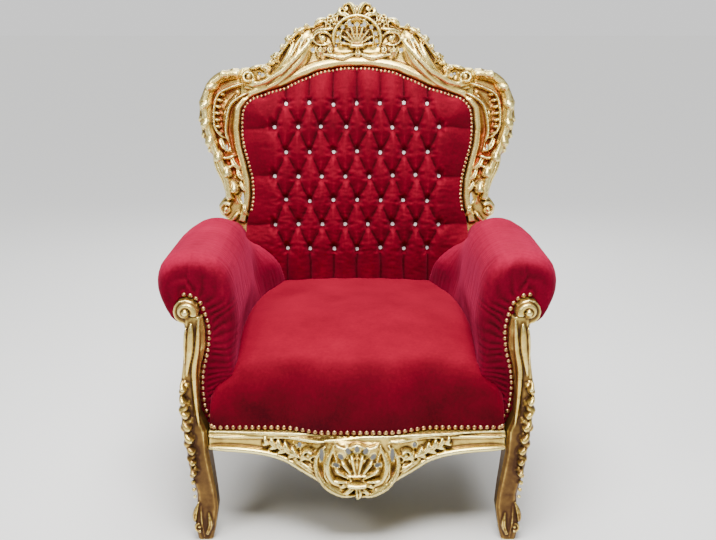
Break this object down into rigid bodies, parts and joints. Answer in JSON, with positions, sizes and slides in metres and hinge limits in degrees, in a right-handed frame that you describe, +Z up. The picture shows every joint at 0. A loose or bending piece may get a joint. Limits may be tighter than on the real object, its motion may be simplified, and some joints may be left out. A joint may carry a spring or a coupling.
{
  "type": "throne",
  "caption": "Carved gilt throne armchair with a pierced shell crest and apron, a deep-buttoned velvet back, rolled velvet arms and scrolled legs.",
  "frame": {"origin": "on the floor, under the centre of the box that holds the throne", "axes": "+Z up, +X towards the left arm of someone seated, -Y the way the throne faces"},
  "size_m": [0.862, 0.7984, 1.1789],
  "materials": {
    "gilded_wood": "carved wood, gilded, with darker hollows",
    "velvet": "crimson velvet with a pale sheen",
    "under_cloth": "thin black cloth"
  },
  "bodies": {
    "root": {"crest_rail": "gilded_wood", "rear_stile_left": "gilded_wood", "rear_stile_right": "gilded_wood", "front_post_left": "gilded_wood", "front_post_right": "gilded_wood", "front_rail": "gilded_wood", "side_rail_left": "gilded_wood", "side_rail_right": "gilded_wood", "rear_rail": "gilded_wood", "seat_cushion": "velvet", "back_cushion": "velvet", "arm_left": "velvet", "arm_right": "velvet", "back_panel": "velvet", "outside_arm_left": "velvet", "outside_arm_right": "velvet", "under_panel": "under_cloth"}
  },
  "joints": []
}
